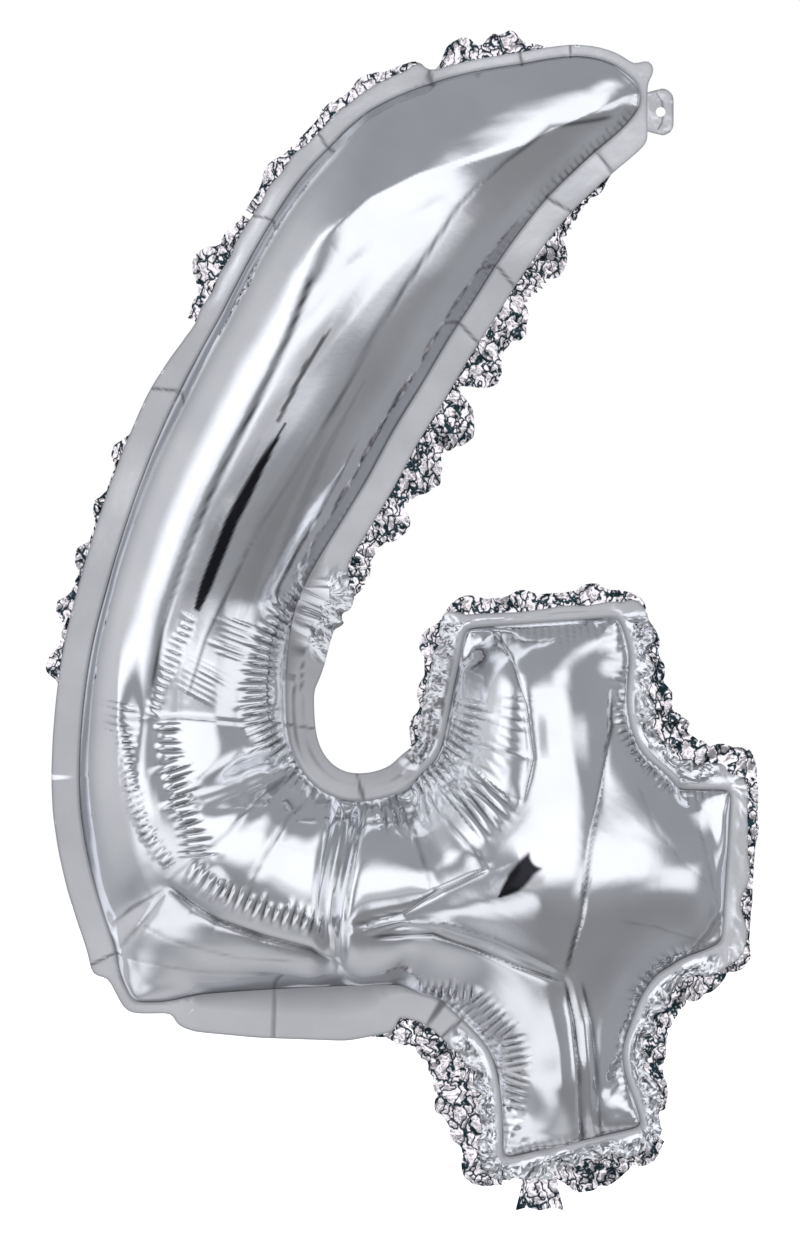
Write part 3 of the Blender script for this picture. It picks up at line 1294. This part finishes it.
def body_pieces():
    """The two filled skins and the margin's two plies."""
    film = blow_up()
    body, margin = body_plan(), margin_plan()
    for side, word in ((0, "front"), (1, "back")):
        skin = film_piece(film, side, f"film_{word}", *body)
        rim = margin_piece(side, f"margin_{word}", *margin)
        for piece, node in ((skin, f"{word}_panel"), (rim, f"seal_margin_{word}")):
            paint(piece, FOIL)
            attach(piece, ROOT)
            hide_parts(node)


def gathers():
    """The crumpled edge, in as many pieces as the CAD has."""
    for n, node in enumerate(sorted(name for name in frame["nodes"] if name.startswith("gather_"))):
        piece = gather_piece(node, 300 + 20 * n)
        paint(piece, CRUMPLED)
        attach(piece, ROOT)
        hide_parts(node)


TAB_FOLD = [(-1.2, 5.6), (0.4, 3.2), (0.9, -0.5), (0.3, -3.6), (-0.8, -5.4)]


def hang_tab():
    """The tab with the ribbon hole: its outer end rounded, a fold down it, its root behind the margin."""
    low, high = (1000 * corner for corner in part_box("hang_tab"))
    radius, root = 3.6, low.x - 4
    corners = [(high.x - radius, high.z - radius, 90, 0), (high.x - radius, low.z + radius, 0, -90)]
    outline = [(root, high.z - 2.0)]
    for cx, cz, first, last in corners:
        outline += arc(cx, cz, radius, first, last, 12)
    outline.append((root, low.z + 2.0))
    hole = face_loops("hang_tab", PLY_FACE_Y)[1]

    def shape(x, z, side):
        wave = 0.05 * lattice(x / 3, z / 3, 31) + 0.02 * lattice(x / 1.2, z / 1.2, 32)
        behind = 0.5 * (1 - smooth(x, low.x - 2.6, low.x - 1.0))
        return wave + behind + 0.5 * OUTWARD[side] * PLY_GAP

    piece = plies("hang_tab_film", [np.array(outline), hole], 0.25, shape)
    shade(piece)
    at = arrays(piece)[0]
    rim = nearest(at[:, 0], at[:, 2], np.array(outline))[0]
    fold = polyline(at[:, 0], at[:, 2], TAB_FOLD)[0]
    store_shadow(piece, np.maximum(0.5 * np.exp(-(rim / 0.5) ** 2), 0.6 * np.exp(-(fold / 0.3) ** 2)))
    paint(piece, FOIL)
    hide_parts("hang_tab")
    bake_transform(piece)


def fill_tail():
    """The fan-shaped tail's two crumpled plies, with their root behind the foot's crumpled edge."""
    low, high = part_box("fill_tail_front")
    centre = 500 * (low.x + high.x)
    for side, word in ((0, "front"), (1, "back")):
        node = f"fill_tail_{word}"
        top, bottom = 1000 * high.z, 1000 * low.z
        right = [(5, top + 4), (6, top - 3), (7.5, bottom), (4, bottom + 1), (0, bottom)]
        outline = [(centre - 5, top + 4)] + [(centre + dx, z) for dx, z in right]
        outline += [(centre - dx, z) for dx, z in right[-2:0:-1]]
        x, z, mask = flat_fill([np.array(outline)], 0.35)
        drop = np.clip((top - z) / (top - bottom), 0, 1)
        fan = np.sin((x - centre) / (0.55 + 0.5 * drop) + side) * 0.7 * drop
        y = 0.8 * (fan + 0.5 * crumple(x + 50, z, 2.5, 71 + side) * drop) + 0.7 * drop
        y = (y + 0.6 * PLY_GAP) * OUTWARD[side]
        points = np.column_stack([x.ravel(), y.ravel(), z.ravel()])
        piece = new_object(node + "_film", points, grid_faces(mask, side == 1))
        shade(piece, False)
        paint(piece, CRUMPLED)
        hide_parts(node)
        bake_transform(piece)


def valve():
    """The clear inlet sleeve inside, its welds, its release print and its lip."""
    for part in ("sleeve_front", "sleeve_back", "edge_welds", "release_print", "lip"):
        paint(frame["nodes"]["valve_" + part], PRINT if part == "release_print" else VALVE)


# ---------------------------------------------------------------- stage, lights and camera


# Cards round the camera that the film mirrors: azimuth from the camera towards +X and elevation, in
# degrees, half-width and half-height as tangents, how soft the edge is, brightness.
CARDS = [
    (180, 0, 0.80, 1.50, 0.50, 0.42),
    (150, 22, 0.30, 0.42, 0.12, 1.20),
    (-150, 10, 0.22, 0.60, 0.12, 1.05),
    (180, -40, 0.60, 0.22, 0.15, 0.75),
    (0, -88, 0.40, 0.40, 0.35, 0.55),
    (45, -42, 0.80, 0.34, 0.30, 0.27),
    (-88, 8, 0.70, 0.70, 0.60, 0.65),
    (-52, -36, 0.35, 0.32, 0.25, 0.95),
    (-38, -27, 0.78, 0.17, 0.12, 1.02),
    (-58, 14, 0.22, 0.55, 0.14, 1.25),
    (17, 21, 0.80, 0.47, 0.20, 1.18),
    (68, -3, 0.27, 0.22, 0.12, 1.05),
    (55, 43, 0.24, 0.14, 0.14, 1.15),
    (0, 0, 0.13, 0.13, 0.09, 0.54),
]
CARD_TINT = (0.98, 0.99, 1.03)
AROUND = (0.335, 0.345, 0.365)       # the grey between the cards


def direction(azimuth, elevation):
    """A unit vector from the balloon: towards the camera at 0, 0."""
    a, e = math.radians(azimuth), math.radians(elevation)
    return Vector((math.sin(a) * math.cos(e), -math.cos(a) * math.cos(e), math.sin(e)))


def card_mask(tree, look, azimuth, elevation, half_width, half_height, soft):
    """1 in the directions that a card covers, falling softly to 0 at its edges."""
    ahead = direction(azimuth, elevation)
    right = direction(azimuth + 90, 0)
    up = right.cross(-ahead) if right.cross(-ahead).z > 0 else right.cross(ahead)

    def maths(operation, first, second):
        node = add(tree, "ShaderNodeMath", {0: first, 1: second})
        node.operation = operation
        return node.outputs[0]

    def towards(axis):
        node = add(tree, "ShaderNodeVectorMath", {0: look, 1: axis})
        node.operation = "DOT_PRODUCT"
        return node.outputs["Value"]

    depth = maths("MAXIMUM", towards(ahead), 0.001)
    mask = None
    for axis, half in ((right, half_width), (up, half_height)):
        offset = maths("ABSOLUTE", maths("DIVIDE", towards(axis), depth), 0)
        edge = between(tree, offset, 1, 0, half - soft, half + soft)
        edge.node.interpolation_type = "SMOOTHSTEP"
        mask = edge if mask is None else maths("MULTIPLY", mask, edge)
    return mask


def world():
    """White behind the object, and a soft grey studio with its cards in the film's reflections."""
    made = bpy.data.worlds.new("studio")
    bpy.context.scene.world = made
    made.use_nodes = True
    tree = made.node_tree
    tree.nodes.clear()
    look = tree.nodes.new("ShaderNodeTexCoord").outputs["Generated"]
    colour = (*AROUND, 1)
    for azimuth, elevation, half_width, half_height, soft, bright in CARDS:
        mask = card_mask(tree, look, azimuth, elevation, half_width, half_height, soft)
        card = tuple(bright * part for part in CARD_TINT)
        colour = mix_colours(tree, mask, colour, (*card, 1)).outputs[2]
    around = add(tree, "ShaderNodeBackground", {"Color": colour})
    seen = add(tree, "ShaderNodeBackground", {"Color": (1, 1, 1, 1)})
    by_camera = add(tree, "ShaderNodeLightPath", {}).outputs["Is Camera Ray"]
    mix = add(tree, "ShaderNodeMixShader", {"Fac": by_camera, 1: around.outputs[0], 2: seen.outputs[0]})
    add(tree, "ShaderNodeOutputWorld", {"Surface": mix.outputs[0]})


def floor():
    """A pale floor, bright enough to be white, that the film doesn't mirror."""
    mesh = bpy.data.meshes.new("floor")
    low = cad_box[0][2] - 0.02
    mesh.from_pydata([(-4, -4, low), (4, -4, low), (4, 4, low), (-4, 4, low)], [], [(0, 1, 2, 3)])
    obj = bpy.data.objects.new("floor", mesh)
    bpy.context.scene.collection.objects.link(obj)
    obj.visible_glossy = False
    material, tree, shader, _ = new_material("pale_floor")
    fill(tree, shader, {"Base Color": (0.9, 0.9, 0.9, 1), "Roughness": 0.8,
                        "Emission Color": (1, 1, 1, 1), "Emission Strength": 0.75})
    paint(obj, material)


def stage():
    """The studio: the world, the floor and one soft lamp."""
    world()
    floor()
    lamp = bpy.data.lights.new("softbox", "AREA")
    lamp.shape = "RECTANGLE"
    lamp.size, lamp.size_y = 1.2, 1.2
    lamp.energy = 12
    obj = bpy.data.objects.new("softbox", lamp)
    obj.location = (-0.5, -0.8, 1.6)
    aim = Vector((-0.08, 0, -0.16)) - obj.location
    obj.rotation_euler = aim.to_track_quat("-Z", "Y").to_euler()
    obj.visible_glossy = False
    bpy.context.scene.collection.objects.link(obj)


CAMERA_AWAY = 3.0
VIEW_HEIGHT = 0.3884
CAMERA_SHIFT = (-0.0013, -0.0015)    # along X and Z, from the middle of the CAD box


def camera():
    """A long lens in front, level with the middle of the balloon."""
    data = bpy.data.cameras.new("camera")
    obj = bpy.data.objects.new("camera", data)
    bpy.context.scene.collection.objects.link(obj)
    low, high = cad_box
    middle = [(low[k] + high[k]) / 2 for k in (0, 2)]
    obj.location = (middle[0] + CAMERA_SHIFT[0], -CAMERA_AWAY, middle[1] + CAMERA_SHIFT[1])
    obj.rotation_euler = (math.pi / 2, 0, 0)
    data.sensor_fit = "AUTO"
    data.lens = 36 * CAMERA_AWAY / VIEW_HEIGHT
    data.clip_end = 50
    bpy.context.scene.camera = obj


body_pieces()
gathers()
hang_tab()
fill_tail()
valve()
stage()
camera()
bpy.context.scene.view_settings.view_transform = "Standard"
